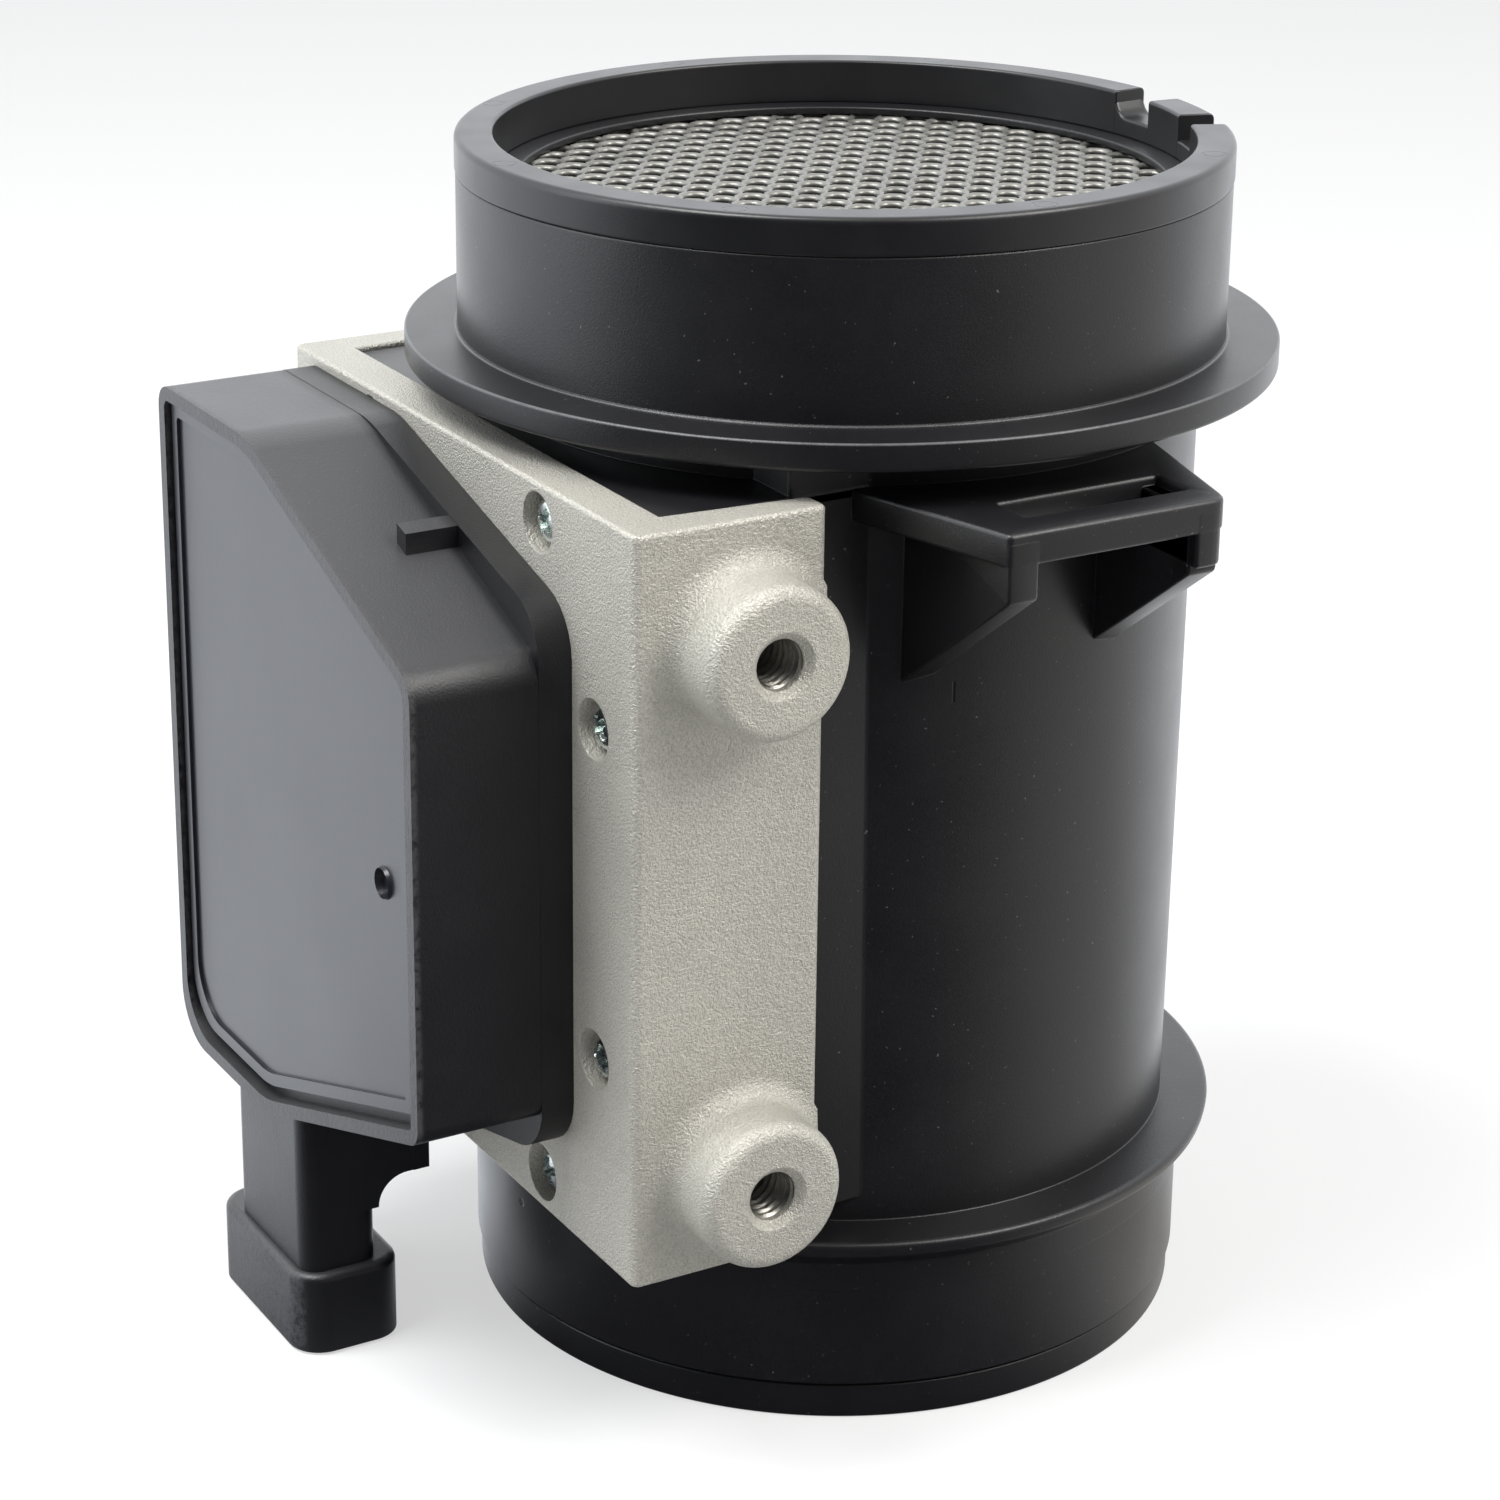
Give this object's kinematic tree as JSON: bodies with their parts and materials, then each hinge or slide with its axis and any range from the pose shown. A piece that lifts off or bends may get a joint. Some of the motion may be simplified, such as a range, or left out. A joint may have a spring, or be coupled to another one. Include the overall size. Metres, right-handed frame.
{
  "type": "mass airflow sensor",
  "caption": "Hot-film mass airflow sensor: black air tube with a mesh screen, cast aluminium base with threaded bosses, and an electronics case with a plug socket.",
  "frame": {"origin": "on the air tube's axis, at the outlet foot's end face", "axes": "+Z along the tube towards the inlet screen; the cast base and electronics case look to -X; the threaded bosses look to -Y"},
  "size_m": [0.1081, 0.098, 0.1278],
  "materials": {
    "housing_plastic": "moulded satin",
    "case_plastic": "moulded satin",
    "cover_plastic": "smooth satin",
    "cast_alloy": "as cast, bead blasted",
    "screen_metal": "satin",
    "screw_zinc": "zinc plated",
    "seal_rubber": "matt",
    "sealant": "satin",
    "thermal_film": "matt",
    "ceramic_board": "matt",
    "chip_plastic": "matt",
    "capacitor_can": "satin",
    "terminal_tin": "tin plated",
    "lead_copper": "bright",
    "stem_plastic": "moulded satin",
    "film_ceramic": "matt"
  },
  "bodies": {
    "root": {"tube_housing": "housing_plastic", "inlet_ring": "housing_plastic", "screen_frame": "housing_plastic", "inlet_screen": "screen_metal", "base_casting": "cast_alloy", "base_gasket": "seal_rubber", "base_screws": "screw_zinc", "electronics_case": "case_plastic", "case_seal": "sealant", "case_cover": "cover_plastic", "cover_seal": "sealant", "thermal_pad": "thermal_film", "circuit_board": "ceramic_board", "driver_chip": "chip_plastic", "signal_chip": "chip_plastic", "power_transistor": "chip_plastic", "filter_capacitors": "capacitor_can", "terminal_1": "terminal_tin", "terminal_2": "terminal_tin", "terminal_3": "terminal_tin", "sensor_stem": "stem_plastic", "stem_seal": "seal_rubber", "heated_film": "film_ceramic", "reference_film": "film_ceramic", "lead_strips": "lead_copper", "measuring_tube": "stem_plastic"}
  },
  "joints": []
}
